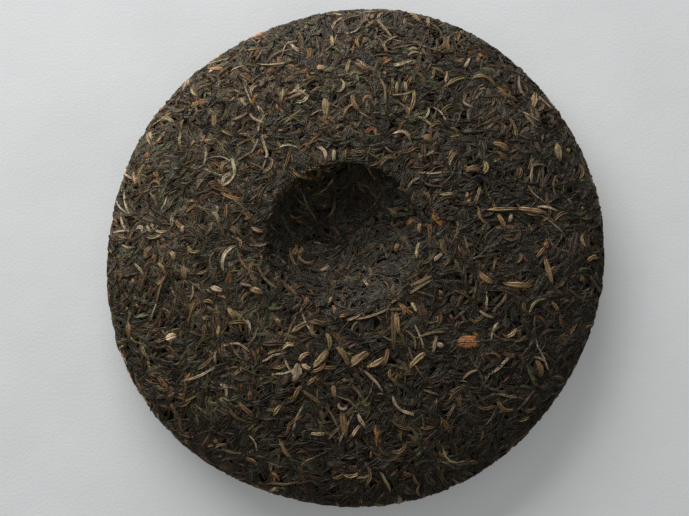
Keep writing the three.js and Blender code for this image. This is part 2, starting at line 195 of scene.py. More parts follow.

# Leaves that stand out in the photograph, read off it: where each starts, is halfway and ends, in
# pixels across and down its frame, then its width in millimetres and its tone
FRAME_SIZE = (689, 516)
NOTABLE_LAYER = 1.1
NOTABLE_LIFT = 0.0002  # they lie on the others
NOTABLE_FULLNESS = 1.15  # a leaf's edges are darker, so it is wider than it looks
NOTABLE = {
    "golden_buds": [
        (191, 86, 193, 93, 202, 96, 1.1, 0.9), (139, 184, 139, 173, 145, 161, 2.0, 0.72),
        (213, 127, 214, 120, 213, 112, 2.4, 0.66), (220, 129, 227, 133, 236, 136, 1.3, 0.8),
        (217, 75, 223, 70, 230, 64, 1.7, 0.66), (252, 96, 252, 89, 261, 83, 1.3, 0.92),
        (364, 32, 357, 39, 361, 49, 1.6, 0.78), (331, 34, 332, 40, 333, 47, 1.4, 0.86),
        (315, 68, 321, 67, 327, 68, 2.4, 0.84), (347, 73, 348, 65, 351, 57, 1.6, 0.82),
        (283, 86, 282, 95, 280, 103, 1.8, 0.82), (324, 95, 326, 107, 324, 119, 2.9, 0.74),
        (353, 91, 354, 103, 361, 111, 1.8, 0.7), (354, 62, 361, 66, 368, 71, 1.9, 0.66),
        (290, 122, 294, 117, 297, 125, 1.2, 0.66), (446, 86, 456, 79, 469, 77, 1.8, 0.72),
        (470, 79, 485, 76, 496, 86, 1.8, 0.7), (414, 90, 414, 100, 409, 113, 1.7, 0.74),
        (536, 91, 535, 99, 533, 108, 2.6, 0.8), (422, 134, 428, 138, 434, 141, 2.8, 0.55),
        (493, 143, 502, 145, 510, 151, 2.3, 0.68), (497, 151, 503, 155, 509, 161, 1.9, 0.5),
        (440, 51, 448, 51, 456, 49, 1.3, 0.62), (486, 209, 503, 209, 521, 208, 1.4, 0.74),
        (519, 208, 533, 210, 549, 212, 2.0, 0.78), (498, 213, 502, 220, 506, 229, 1.6, 0.76),
        (558, 142, 559, 151, 561, 162, 2.7, 0.74), (484, 161, 487, 167, 482, 174, 1.9, 0.72),
        (466, 171, 473, 168, 481, 171, 2.2, 0.66), (546, 247, 541, 252, 536, 259, 1.4, 0.6),
        (545, 256, 549, 270, 554, 288, 2.0, 0.76), (588, 262, 594, 257, 600, 259, 1.8, 0.66),
        (146, 224, 148, 229, 151, 233, 1.3, 0.95), (169, 252, 173, 255, 172, 262, 2.0, 0.74),
        (182, 264, 184, 272, 184, 280, 2.3, 0.64), (157, 262, 162, 268, 165, 275, 1.3, 0.78),
        (164, 276, 161, 281, 155, 285, 1.4, 0.84), (209, 286, 216, 289, 224, 291, 1.9, 0.93),
        (249, 286, 256, 291, 264, 292, 2.3, 0.78), (251, 226, 257, 230, 265, 231, 1.5, 0.74),
        (243, 219, 249, 217, 252, 213, 1.2, 0.72), (226, 202, 226, 211, 225, 221, 1.5, 0.62),
        (232, 225, 234, 230, 239, 235, 2.3, 0.56), (228, 307, 231, 313, 236, 320, 2.1, 0.74),
        (164, 339, 170, 337, 176, 335, 2.6, 0.97), (127, 321, 128, 330, 129, 340, 2.0, 0.68),
        (201, 303, 208, 301, 213, 305, 1.3, 0.78), (294, 381, 297, 372, 299, 361, 3.2, 0.88),
        (299, 362, 303, 356, 312, 353, 1.7, 0.84), (302, 363, 306, 367, 312, 369, 1.9, 0.88),
        (310, 368, 321, 359, 328, 348, 2.4, 0.78), (328, 349, 330, 341, 325, 332, 1.7, 0.72),
        (311, 371, 320, 369, 326, 361, 1.4, 0.68), (307, 385, 312, 381, 318, 376, 1.4, 0.78),
        (294, 399, 297, 392, 302, 385, 1.6, 0.68), (273, 416, 277, 410, 282, 404, 1.6, 0.72),
        (289, 333, 299, 327, 309, 322, 2.0, 0.58), (308, 322, 317, 322, 325, 326, 1.9, 0.5),
        (276, 317, 278, 322, 280, 327, 1.4, 0.78), (335, 346, 344, 355, 349, 369, 2.1, 0.58),
        (350, 366, 359, 358, 371, 350, 3.0, 0.64), (366, 367, 377, 363, 385, 357, 2.0, 0.74),
        (383, 366, 387, 357, 388, 347, 1.5, 0.6), (392, 309, 394, 329, 393, 349, 2.2, 0.48),
        (397, 311, 397, 323, 399, 336, 2.1, 0.74), (333, 384, 334, 391, 335, 400, 1.6, 0.8),
        (342, 411, 344, 424, 345, 440, 2.5, 0.62), (411, 366, 418, 359, 429, 351, 2.2, 0.74),
        (504, 283, 518, 285, 535, 285, 2.2, 0.76), (481, 272, 486, 279, 496, 282, 2.1, 0.68),
        (551, 302, 556, 306, 559, 313, 1.4, 0.76), (505, 337, 513, 334, 517, 327, 1.6, 0.84),
        (537, 361, 541, 368, 541, 378, 2.2, 0.6), (292, 255, 296, 250, 297, 243, 1.8, 0.62),
        (394, 251, 396, 247, 397, 242, 1.6, 0.76), (417, 233, 419, 228, 418, 223, 2.0, 0.78),
        (345, 160, 345, 154, 346, 148, 1.4, 0.55),
    ],
    "pale_stems": [
        (250, 113, 255, 119, 264, 122, 1.0, 0.97), (221, 185, 230, 181, 234, 172, 1.1, 0.84),
        (234, 174, 234, 166, 231, 157, 1.6, 0.86), (235, 161, 244, 156, 252, 151, 0.9, 0.72),
        (251, 152, 255, 146, 258, 137, 1.1, 0.74), (232, 119, 240, 117, 247, 112, 1.3, 0.66),
        (195, 191, 199, 184, 203, 179, 1.2, 0.55), (340, 79, 344, 86, 335, 92, 1.1, 0.8),
        (359, 111, 365, 115, 371, 119, 0.8, 0.7), (377, 19, 384, 27, 392, 36, 1.1, 0.72),
        (286, 43, 292, 42, 298, 40, 1.3, 0.66), (391, 94, 403, 94, 414, 90, 1.0, 0.8),
        (397, 92, 397, 87, 398, 81, 1.3, 0.72), (405, 81, 406, 86, 406, 91, 1.3, 0.76),
        (429, 107, 428, 114, 423, 118, 0.9, 0.86), (408, 55, 413, 52, 419, 52, 1.1, 0.84),
        (465, 67, 468, 62, 470, 57, 1.2, 0.8), (463, 101, 468, 105, 475, 107, 1.0, 0.8),
        (387, 40, 392, 38, 398, 35, 0.9, 0.8), (532, 184, 532, 173, 533, 166, 1.0, 0.7),
        (533, 166, 538, 164, 549, 166, 1.0, 0.62), (509, 222, 511, 218, 512, 214, 1.4, 0.84),
        (164, 277, 159, 290, 156, 304, 0.9, 0.66), (156, 303, 153, 312, 150, 320, 0.9, 0.74),
        (240, 283, 246, 285, 253, 286, 1.0, 0.66), (134, 263, 139, 269, 143, 275, 1.0, 0.72),
        (182, 233, 182, 229, 183, 225, 1.3, 0.84), (348, 320, 354, 318, 361, 314, 1.1, 0.84),
        (365, 372, 374, 380, 384, 393, 1.0, 0.76), (339, 402, 341, 409, 348, 406, 1.0, 0.8),
        (393, 395, 396, 405, 403, 411, 1.1, 0.78), (402, 411, 408, 413, 414, 415, 1.1, 0.78),
        (531, 311, 536, 302, 549, 298, 0.9, 0.72), (420, 337, 431, 333, 449, 331, 0.9, 0.58),
        (433, 352, 435, 344, 437, 335, 1.2, 0.7), (436, 344, 440, 345, 443, 347, 1.8, 0.84),
        (479, 310, 486, 315, 492, 317, 1.0, 0.78), (463, 379, 470, 373, 479, 370, 0.9, 0.66),
        (411, 285, 422, 281, 433, 275, 1.2, 0.58), (410, 293, 421, 286, 432, 279, 1.1, 0.52),
        (434, 260, 438, 257, 443, 253, 1.3, 0.78), (299, 254, 305, 262, 316, 259, 1.0, 0.7),
        (334, 160, 334, 155, 334, 149, 1.5, 0.86), (352, 319, 371, 316, 389, 308, 0.9, 0.56),
        (385, 146, 389, 150, 393, 152, 0.8, 0.72),
    ],
    "rusty_blades": [
        (456, 343, 468, 342, 481, 343, 4.6, 0.97), (341, 19, 343, 27, 342, 36, 2.8, 0.6),
        (369, 135, 372, 128, 374, 139, 1.8, 0.85), (304, 68, 306, 71, 310, 74, 2.2, 0.8),
        (424, 145, 424, 152, 425, 162, 2.2, 0.6), (282, 385, 285, 380, 288, 374, 2.8, 0.55),
        (262, 344, 275, 344, 289, 343, 1.6, 0.55), (419, 302, 423, 312, 425, 324, 3.6, 0.6),
        (497, 286, 508, 291, 522, 296, 2.2, 0.4), (562, 314, 562, 322, 566, 329, 1.6, 0.75),
        (222, 86, 228, 85, 234, 82, 1.6, 0.55), (208, 156, 212, 154, 216, 157, 2.2, 0.6),
        (577, 231, 573, 246, 570, 263, 3.6, 0.35), (457, 329, 458, 325, 459, 320, 1.8, 0.6),
    ],
}

# The camera
CAMERA_TARGET = Vector((-0.0044, -0.0041, 0.0115))
CAMERA_ELEVATION = math.radians(79)
CAMERA_BACK = Vector((0, -math.cos(CAMERA_ELEVATION), math.sin(CAMERA_ELEVATION)))
CAMERA_UP = Vector((0, math.sin(CAMERA_ELEVATION), math.cos(CAMERA_ELEVATION)))
CAMERA_DISTANCE = 0.42
LENS = 55.6
SENSOR = 36
NEAREST = 0.01

# The floor and the light
FLOOR_SIZE = 3.0
FLOOR_COLOURS = [(0.580, 0.590, 0.595, 1), (0.610, 0.620, 0.625, 1)]
FLOOR_MASK = (0.3, 0.7)
FLOOR_CLOUDS = 22.0
FLOOR_FIBRES = 900.0
FLOOR_UNEVEN = 6.0  # how much more the clouds raise it than the fibres
FLOOR_RELIEF = 0.0003
FLOOR_BUMPS = 0.25
FLOOR_ROUGHNESS = 0.9
FLOOR_SHEEN = 0.2
FLOOR_GLOW = 0.12  # a faint light of its own, which keeps its shadows pale
GLOW_COLOUR = (1.0, 1.0, 0.985, 1)
WINDOW_AZIMUTH = math.radians(115)  # the way that the light comes from, anticlockwise from +X
WINDOW_ELEVATION = math.radians(21)
WINDOW_DISTANCE = 1.1
WINDOW_SIZE = (1.2, 0.7)
WINDOW_POWER = 21
SKY_COLOUR = (0.97, 0.985, 1.0, 1)
SKY_STRENGTH = 0.285


def eased(value, low, high):
    """0 up to low, 1 from high on, and a smooth curve between them"""
    share = np.clip((value - low) / (high - low), 0, 1)
    return share * share * (3 - 2 * share)


# The cake's skin

def outline_share(angle):
    """The outline's radius over the cake's, in the directions of the angles"""
    waves = [size * np.cos(count * (angle - math.radians(peak))) for count, size, peak in OUTLINE_WAVES]
    return 1 + sum(waves) / CAKE_RADIUS


def rounded(share, powers):
    """A quarter of a superellipse: its height share at a distance share from the middle"""
    across, up = powers
    return (1 - share**across) ** (1 / up)


def back_height(radius):
    share = np.clip(radius / CAKE_RADIUS, 0, 1)
    return RIM_HEIGHT + (CAKE_THICKNESS - RIM_HEIGHT) * rounded(share, BACK_FULLNESS)


def front_height(radius):
    share = np.clip((radius - FLAT_RADIUS) / (CAKE_RADIUS - FLAT_RADIUS), 0, 1)
    return RIM_HEIGHT * (1 - rounded(share, FRONT_FULLNESS))


def hollow_depth(radius, angle):
    """How deep the knot's hollow is at a radius from its middle. It is steep on one side."""
    steepness = (1 + np.cos(angle - math.radians(STEEP_DEGREES))) / 2
    walls = [(GENTLE_WALL[key], STEEP_WALL[key]) for key in ("reach", "bowl", "lip")]
    reach, bowl, lip = (gentle + (steep - gentle) * steepness for gentle, steep in walls)
    share = np.clip(radius / (HOLLOW_RADIUS * reach), 0, 1)
    return HOLLOW_DEPTH * (1 - share**bowl) ** lip


def make_section():
    """The lengths and radii along a round cake's section, from the back's middle to the base's"""
    outward = 1 - (1 - np.linspace(0, 1, SECTION_SAMPLES + 1)) ** 3
    radius = np.concatenate([outward, outward[::-1]]) * CAKE_RADIUS
    on_back = np.arange(radius.size) <= SECTION_SAMPLES
    height = np.where(on_back, back_height(radius) - hollow_depth(radius, 0), front_height(radius))
    steps = np.hypot(np.diff(radius), np.diff(height))
    return np.concatenate([[0], np.cumsum(steps)]), radius


SECTION_LENGTHS, SECTION_RADII = make_section()
SECTION_LENGTH = SECTION_LENGTHS[-1]
WIDEST = SECTION_LENGTHS[SECTION_SAMPLES]


def skin_point(length, angle):
    """Points of the skin at lengths along the section, in the directions of the angles"""
    radius = np.interp(length, SECTION_LENGTHS, SECTION_RADII)
    back = length < WIDEST
    share = 1 + (outline_share(angle) - 1) * radius / CAKE_RADIUS
    shift = np.where(back, 1 - eased(radius, *HOLLOW_FADE), 0)
    height = np.where(back, back_height(radius) - hollow_depth(radius, angle), front_height(radius))
    x = radius * share * np.cos(angle) + shift * HOLLOW_CENTRE[0]
    y = radius * share * np.sin(angle) + shift * HOLLOW_CENTRE[1]
    return np.stack([x, y, height], axis=-1)


def map_point(u, v, on_back):
    """Points of the skin by their place in a flat map, centred on the back's middle or the base's"""
    distance = np.hypot(u, v)
    length = np.where(on_back, distance, SECTION_LENGTH - distance)
    return skin_point(length, np.arctan2(v, u))


def map_directions(u, v, on_back):
    """What a step along u and one along v are on the skin, and the outward normal"""
    along_u = map_point(u + MAP_STEP, v, on_back) - map_point(u - MAP_STEP, v, on_back)
    along_v = map_point(u, v + MAP_STEP, on_back) - map_point(u, v - MAP_STEP, on_back)
    normal = np.cross(along_u, along_v)
    normal /= np.linalg.norm(normal, axis=-1, keepdims=True)
    normal = np.where(np.expand_dims(on_back, -1), normal, -normal)
    return along_u / (2 * MAP_STEP), along_v / (2 * MAP_STEP), normal


# Helpers for modelling

def deselect():
    if bpy.context.object and bpy.context.object.mode != "OBJECT":
        bpy.ops.object.mode_set(mode="OBJECT")
    bpy.ops.object.select_all(action="DESELECT")


def points_of(mesh):
    flat = np.empty(len(mesh.vertices) * 3, np.float32)
    mesh.vertices.foreach_get("co", flat)
    return flat.reshape(-1, 3).astype(float)


def pick_points(piece, chosen):
    """Leaves the piece in edit mode with only its chosen vertices selected"""
    bpy.ops.object.mode_set(mode="OBJECT")
    mesh = piece.data
    mesh.polygons.foreach_set("select", np.zeros(len(mesh.polygons), bool))
    mesh.edges.foreach_set("select", np.zeros(len(mesh.edges), bool))
    mesh.vertices.foreach_set("select", chosen)
    bpy.ops.object.mode_set(mode="EDIT")


def finish_piece(piece, material):
    piece.data.materials.clear()
    piece.data.materials.append(material)
    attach(piece, BODY)
    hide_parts(NODE)


# Leaf shapes. Each is modelled once along X from 0 to 1, with its edges at y -1 and 1 and its
# underside near z 0, and every leaf laid on the cake is a bent copy of one.

def leaf_blank(name, rings):
    """A six-sided bar with even rings, closed by a fan at each end"""
    deselect()
    bpy.ops.mesh.primitive_cylinder_add(
        vertices=LEAF_SIDES, radius=1, depth=1, end_fill_type="TRIFAN",
        location=(0.5, 0, 0), rotation=(0, math.pi / 2, 0),
    )
    blank = bpy.context.object
    blank.name = name
    bpy.ops.object.transform_apply(location=True, rotation=True, scale=True)
    points = points_of(blank.data)
    ends = np.array([edge.vertices[:] for edge in blank.data.edges])
    bpy.ops.object.mode_set(mode="EDIT")
    bpy.ops.mesh.select_mode(type="EDGE")
    bpy.ops.mesh.select_all(action="DESELECT")
    bpy.ops.object.mode_set(mode="OBJECT")
    runs_along = np.abs(points[ends[:, 0], 0] - points[ends[:, 1], 0]) > 0.5
    blank.data.edges.foreach_set("select", runs_along)
    bpy.ops.object.mode_set(mode="EDIT")
    bpy.ops.mesh.subdivide(number_cuts=rings - 2)
    bpy.ops.mesh.select_mode(type="VERT")
    return blank


def model_leaf(name, rings, rng, groove, twist, waist, blunt, ragged):
    """A leaf with two ridges and a groove that winds along it. It tapers to both ends, less so
    the more blunt it is."""
    blank = leaf_blank(name, rings)
    bpy.ops.object.mode_set(mode="OBJECT")
    points = points_of(blank.data)
    around = np.round(np.degrees(np.arctan2(points[:, 2], points[:, 1]))) % 360
    off_axis = np.hypot(points[:, 1], points[:, 2]) > 0.5
    lean = rng.uniform(-LEAN, LEAN)
    phase = rng.uniform(0, 2 * math.pi)
    for ring in range(rings):
        share = ring / (rings - 1)
        taper = math.sin(math.pi * (TIP_TAPER + (1 - 2 * TIP_TAPER) * share)) ** TAPER_POWER
        full = blunt + (1 - blunt) * taper
        wide = full * (1 - waist * math.cos(4 * math.pi * share + phase) + rng.uniform(-ragged, ragged))
        wind = WINDING * (twist * (share - 0.5) + lean)
        corners = {  # by their angle round the blank: where across the leaf, and how high
            0: (1.0, 0.12),
            60: (0.55 + wind, 0.90 + wind),
            120: (0.05 + wind, 0.90 - groove),
            180: (-0.50 + wind, 0.90 - wind),
            240: (-1.0, 0.10),
            300: (0.0, -0.45),
        }
        for place, (side, up) in corners.items():
            chosen = off_axis & (np.abs(points[:, 0] - share) < NEAR) & (around == place)
            pick_points(blank, chosen)
            stray = rng.uniform(-ragged, ragged, 3) * (RING_STRAY / rings, CORNER_STRAY, CORNER_STRAY)
            target = np.array([share, side * wide, up * full]) + stray
            bpy.ops.transform.translate(value=target - points[chosen][0])
    bpy.ops.object.mode_set(mode="OBJECT")
    return blank


def model_shapes(kind, spec, rng):
    names = [f"{kind}_shape_{number}" for number in range(spec["shapes"])]
    return [model_leaf(name, spec["rings"], rng, **spec["shape"]) for name in names]


def fullness(share):
    """How full a leaf is at shares of its length: 1 halfway, and little at its tips"""
    return np.sin(math.pi * np.clip(share, TIP_GAP, 1 - TIP_GAP)) ** 0.5


# Laying the leaves

def spread_places(count):
    """Even places over the whole cake, denser on the back: a golden spiral by area"""
    middle = (SECTION_LENGTHS[1:] + SECTION_LENGTHS[:-1]) / 2
    around = 2 * math.pi * (SECTION_RADII[1:] + SECTION_RADII[:-1]) / 2
    density = 1 + (BACK_DENSITY - 1) * (1 - eased(middle, WIDEST, WIDEST + FRONT_THINNING))
    filled = np.concatenate([[0], np.cumsum(np.diff(SECTION_LENGTHS) * around * density)])
    number = np.arange(count)
    length = np.interp((number + 0.5) / count * filled[-1], filled, SECTION_LENGTHS)
    return length, number * GOLDEN_ANGLE


def grain_heading(x, y):
    """The way that neighbouring leaves tend to lie, which wanders over the cake"""
    turn, across, up, start = HEADING_PATCHES
    patches = turn * np.sin(across * x + start) * np.cos(up * y)
    turn, across, up, start = HEADING_BANDS
    bands = turn * np.sin(across * x + up * y + start)
    turn, up, start = HEADING_ROWS
    return patches + bands + turn * np.cos(up * y + start)


def seen_at(pixels):
    """The map's places that the camera sees at pixels of the photograph, closed in on by steps"""
    across, down = (pixels - np.array(FRAME_SIZE) / 2).T * SENSOR / LENS / FRAME_SIZE[0]
    right = np.array([1.0, 0.0, 0.0])
    rays = across[:, None] * right - down[:, None] * np.array(CAMERA_UP) - np.array(CAMERA_BACK)
    eye = np.array(CAMERA_TARGET + CAMERA_BACK * CAMERA_DISTANCE)
    on_back = np.ones(len(rays), bool)
    u, v = np.zeros(len(rays)), np.zeros(len(rays))
    for _ in range(SEARCH_STEPS):
        skin = map_point(u, v, on_back)
        seen = eye + rays * ((skin[:, 2] - eye[2]) / rays[:, 2])[:, None]
        u += seen[:, 0] - skin[:, 0]
        v += seen[:, 1] - skin[:, 1]
    return u, v


def lay_out_notable():
    """The leaves that stand out, in the arrays that lay_out_leaves fills"""
    kinds = [list(KINDS).index(kind) for kind, rows in NOTABLE.items() for _ in rows]
    heights = [KINDS[kind]["height"][1] for kind, rows in NOTABLE.items() for _ in rows]
    numbers = np.concatenate([np.array(rows, float) for rows in NOTABLE.values()])
    count = len(numbers)
    on_back = np.ones(count, bool)
    start, middle, end = (seen_at(numbers[:, place : place + 2]) for place in (0, 2, 4))
    along_u, along_v, normal = map_directions(*middle, on_back)
    first = along_u / np.linalg.norm(along_u, axis=1, keepdims=True)
    second = np.cross(normal, first)
    places = [map_point(*place, on_back) for place in (start, middle, end)]
    turns = []
    for step in (places[1] - places[0], places[2] - places[1]):
        turns.append(np.arctan2(np.sum(step * second, axis=1), np.sum(step * first, axis=1)))
    turn = (turns[1] - turns[0] + math.pi) % (2 * math.pi) - math.pi
    length = sum(np.linalg.norm(places[i + 1] - places[i], axis=1) for i in (0, 1))
    return {
        "kind": np.array(kinds),
        "on_back": on_back,
        "u": middle[0],
        "v": middle[1],
        "tone": numbers[:, 7],
        "heading": turns[0] + turn / 2,
        "length": length,
        "width": numbers[:, 6] * MM * NOTABLE_FULLNESS,
        "height": np.array(heights),
        "bend": 2 * turn,
        "sway": np.zeros(count),
        "tilt": np.zeros(count),
        "layer": np.full(count, NOTABLE_LAYER),
    }


def lay_out_leaves(rng):
    """Every leaf's kind, place and measures, one entry of each array for each leaf"""
    kinds = np.concatenate([np.full(spec["count"], number) for number, spec in enumerate(KINDS.values())])
    kinds = rng.permutation(kinds)
    count = kinds.size
    length, angle = spread_places(count)
    on_back = length < WIDEST
    distance = np.where(on_back, length, SECTION_LENGTH - length)
    leaves = {
        "kind": kinds,
        "on_back": on_back,
        "u": distance * np.cos(angle) + rng.normal(0, STRAY, count),
        "v": distance * np.sin(angle) + rng.normal(0, STRAY, count),
        "tone": rng.uniform(0, 1, count),
    }
    place = map_point(leaves["u"], leaves["v"], on_back)
    # painted light: the leaves' tones are paler towards one side, as where the light falls
    painted_light = (place[:, 0] * math.cos(PAINTED_LIGHT_SIDE) + place[:, 1] * math.sin(PAINTED_LIGHT_SIDE)) / CAKE_RADIUS
    bright = np.isin(kinds, [list(KINDS).index(kind) for kind in BRIGHT_KINDS])
    painted_light = np.where(bright, painted_light * BRIGHT_PAINTED_LIGHT_SHARE, painted_light)
    # painted shade: the leaves in the hollow are darker
    hollow_shade = 1 - eased(np.hypot(leaves["u"], leaves["v"]), *PAINTED_HOLLOW_SHADE_REACH)
    leaves["tone"] **= 2 ** (PAINTED_HOLLOW_SHADE * hollow_shade * on_back - PAINTED_LIGHT_POWER * painted_light)
    leaves["heading"] = grain_heading(place[:, 0], place[:, 1]) + rng.normal(0, HEADING_SPREAD, count)
    for measure in ("length", "width", "height", "bend", "sway", "tilt", "layer"):
        low, high = (np.array([spec[measure][end] for spec in KINDS.values()])[kinds] for end in (0, 1))
        leaves[measure] = low + (high - low) * rng.uniform(0, 1, count)
    for turn in ("bend", "sway", "tilt"):
        leaves[turn] = np.radians(leaves[turn])
    for measure in ("length", "width"):
        leaves[measure] = np.where(on_back, leaves[measure], leaves[measure] * FRONT_SCALE)
    notable = lay_out_notable()
    leaves = {name: np.concatenate([values, notable[name]]) for name, values in leaves.items()}
    shapes = np.array([spec["shapes"] for spec in KINDS.values()])[leaves["kind"]]
    leaves["shape"] = (rng.uniform(0, 1, shapes.size) * shapes).astype(int)
    return leaves


def taken(leaves, chosen):
    return {name: values[chosen] for name, values in leaves.items()}


def at_shares(rows, shares):
    """Values at shares of the way along rows of even steps"""
    steps = rows.shape[1] - 1
    low = np.clip((shares * steps).astype(int), 0, steps - 1)
    rest = shares * steps - low
    return rows[:, low] * (1 - rest) + rows[:, low + 1] * rest


def along_leaves(leaves, shares):
    """Where each leaf's middle line is, in the plane that touches the skin at its middle, and
    its heading there, at shares of its length"""
    steps = np.linspace(0, 1, LINE_STEPS + 1)
    heading = (
        leaves["heading"][:, None]
        + leaves["bend"][:, None] * (steps - 0.5)
        + leaves["sway"][:, None] * np.sin(2 * math.pi * steps)
    )
    between = (heading[:, 1:] + heading[:, :-1]) / 2
    stride = leaves["length"][:, None] / LINE_STEPS
    start = np.zeros((heading.shape[0], 1))
    x = np.concatenate([start, np.cumsum(stride * np.cos(between), axis=1)], axis=1)
    y = np.concatenate([start, np.cumsum(stride * np.sin(between), axis=1)], axis=1)
    x -= x[:, LINE_STEPS // 2, None]
    y -= y[:, LINE_STEPS // 2, None]
    return [at_shares(line, shares) for line in (x, y, heading)]


def plane_to_map(leaves, x, y):
    """Places in the map of points given in each leaf's own plane"""
    along_u, along_v, normal = map_directions(leaves["u"], leaves["v"], leaves["on_back"])
    size_u = np.linalg.norm(along_u, axis=1)
    first = along_u / size_u[:, None]
    second = np.cross(normal, first)
    skew = np.sum(along_v * first, axis=1)[:, None]
    size_v = np.sum(along_v * second, axis=1)[:, None]
    step_v = y / size_v
    step_u = (x - step_v * skew) / size_u[:, None]
    return leaves["u"][:, None] + step_u, leaves["v"][:, None] + step_v


def beside(leaves, line, across):
    """Places in the map that are across each leaf from its middle line"""
    x, y, heading = line
    return plane_to_map(leaves, x - across * np.sin(heading), y + across * np.cos(heading))


def cells_at(u, v):
    return ((u + MAP_REACH) / CELL).astype(int), ((v + MAP_REACH) / CELL).astype(int)


def pile_up(leaves):
    """How far each leaf is lifted off the core along its length by the leaves laid before it"""
    cells = int(2 * MAP_REACH / CELL)
    relief = np.zeros((2, cells, cells))
    shares = np.linspace(0, 1, PILE_STEPS)
    fine = np.linspace(0, 1, FILL_STEPS)
    lifts = np.zeros((leaves["u"].size, PILE_STEPS))
    order = np.argsort(leaves["layer"])
    for batch in np.array_split(order, LAYERS):
        laid = taken(leaves, batch)
        side = laid["on_back"].astype(int)[:, None]
        line = along_leaves(laid, shares)
        under = np.zeros((len(batch), PILE_STEPS))
        for offset in FELT_ACROSS:
            u, v = beside(laid, line, offset * laid["width"][:, None])
            under = np.maximum(under, relief[side, *cells_at(u, v)])
        reach = len(SOFTENING) // 2
        padded = np.pad(under, ((0, 0), (reach, reach)), mode="edge")
        parts = [weight * padded[:, i : i + PILE_STEPS] for i, weight in enumerate(SOFTENING)]
        bent = sum(parts) / sum(SOFTENING)
        lift = BASE_CAP * (1 - np.exp(-bent / BASE_CAP))
        lift[laid["layer"] == NOTABLE_LAYER] += NOTABLE_LIFT
        lifts[batch] = lift
        line = along_leaves(laid, fine)
        full = fullness(fine)
        for offset in FILLED_ACROSS:
            u, v = beside(laid, line, offset * laid["width"][:, None] * full)
            top = at_shares(lift, fine) + laid["height"][:, None] * full * (1 - CROWN * offset**2)
            np.maximum.at(relief, (side, *cells_at(u, v)), top)
    return lifts


def bent_copies(leaves, lifts, shape_points):
    """The points of a leaf shape, for each leaf that has it: bent, lifted and laid on the skin"""
    share, side, up = shape_points.T
    share = np.clip(share, 0, 1)
    lift = at_shares(lifts, share) * (TIP_LIFT + (1 - TIP_LIFT) * fullness(share))
    across = side * leaves["width"][:, None] / 2
    tilt = leaves["tilt"][:, None] * np.cos(math.pi * (share - 0.5))
    height = -CORE_DEPTH + lift + up * leaves["height"][:, None] + across * np.tan(tilt)
    u, v = beside(leaves, along_leaves(leaves, share), across)
    on_back = np.broadcast_to(leaves["on_back"][:, None], u.shape)
    normal = map_directions(u, v, on_back)[2]
    return map_point(u, v, on_back) + normal * height[:, :, None]


def press_into_box(points):
    """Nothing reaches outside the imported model's box, or through the floor"""
    low, high = (np.array(corner) for corner in cad_box)
    low = np.array([low[0] + BOX_GAP, low[1] + BOX_GAP, FLOOR_GAP])
    return np.clip(points, low, high - BOX_GAP)


def faces_of(mesh):
    corners = np.empty(len(mesh.loops), int)
    mesh.loops.foreach_get("vertex_index", corners)
    starts = np.empty(len(mesh.polygons), int)
    mesh.polygons.foreach_get("loop_start", starts)
    return np.split(corners, starts[1:])


def join_leaves(kind, groups, material):
    """One piece of all the leaves of a kind. groups has (points, leaves, shape) for each shape."""
    points, faces, places, tones = [], [], [], []
    first = 0
    for laid, leaves, shape in groups:
        count, corners = laid.shape[:2]
        shape_points = points_of(shape.data)
        points.append(laid.reshape(-1, 3))
        shape_faces = faces_of(shape.data)
        sizes = [len(face) for face in shape_faces]
        starts = first + np.arange(count)[:, None] * corners
        faces.append(((starts + np.concatenate(shape_faces)).reshape(-1), np.tile(sizes, count)))
        along = shape_points[:, 0] * leaves["length"][:, None] / MM
        across = shape_points[:, 1] * leaves["width"][:, None] / 2 / MM
        own = np.broadcast_to(leaves["tone"][:, None], along.shape)
        share, side = (np.broadcast_to(shape_points[:, axis], own.shape) for axis in (0, 1))
        places.append(np.stack([along, across, own * TONE_STRIDE], axis=-1).reshape(-1, 3))
        tones.append(np.stack([own, share, side], axis=-1).reshape(-1, 3))
        first += count * corners
    points = np.concatenate(points)
    corners, sizes = (np.concatenate(parts) for parts in zip(*faces))
    mesh = bpy.data.meshes.new(kind)
    mesh.vertices.add(len(points))
    mesh.vertices.foreach_set("co", points.astype(np.float32).ravel())
    mesh.loops.add(len(corners))
    mesh.loops.foreach_set("vertex_index", corners.astype(np.int32))
    mesh.polygons.add(len(sizes))
    starts = np.concatenate([[0], np.cumsum(sizes)[:-1]])
    mesh.polygons.foreach_set("loop_start", starts.astype(np.int32))
    for name, values in ((PLACE, places), (FORM, tones)):
        attribute = mesh.attributes.new(name, "FLOAT_VECTOR", "POINT")
        attribute.data.foreach_set("vector", np.concatenate(values).astype(np.float32).ravel())
    mesh.update(calc_edges=True)
    mesh.validate()
    piece = bpy.data.objects.new(kind, mesh)
    bpy.context.scene.collection.objects.link(piece)
    deselect()
    piece.select_set(True)
    bpy.context.view_layer.objects.active = piece
    bpy.ops.object.shade_smooth_by_angle(angle=CREASE)
    finish_piece(piece, material)


def make_leaves(materials):
    rng = np.random.default_rng(SEED)
    shapes = {kind: model_shapes(kind, spec, rng) for kind, spec in KINDS.items()}
    leaves = lay_out_leaves(rng)
    lifts = pile_up(leaves)
    for number, kind in enumerate(KINDS):
        groups = []
        for which, shape in enumerate(shapes[kind]):
            chosen = (leaves["kind"] == number) & (leaves["shape"] == which)
            own = taken(leaves, chosen)
            laid = press_into_box(bent_copies(own, lifts[chosen], points_of(shape.data)))
            groups.append((laid, own, shape))
        join_leaves(kind, groups, materials[kind])
    for shape in sum(shapes.values(), []):
        bpy.data.objects.remove(shape)


# The core

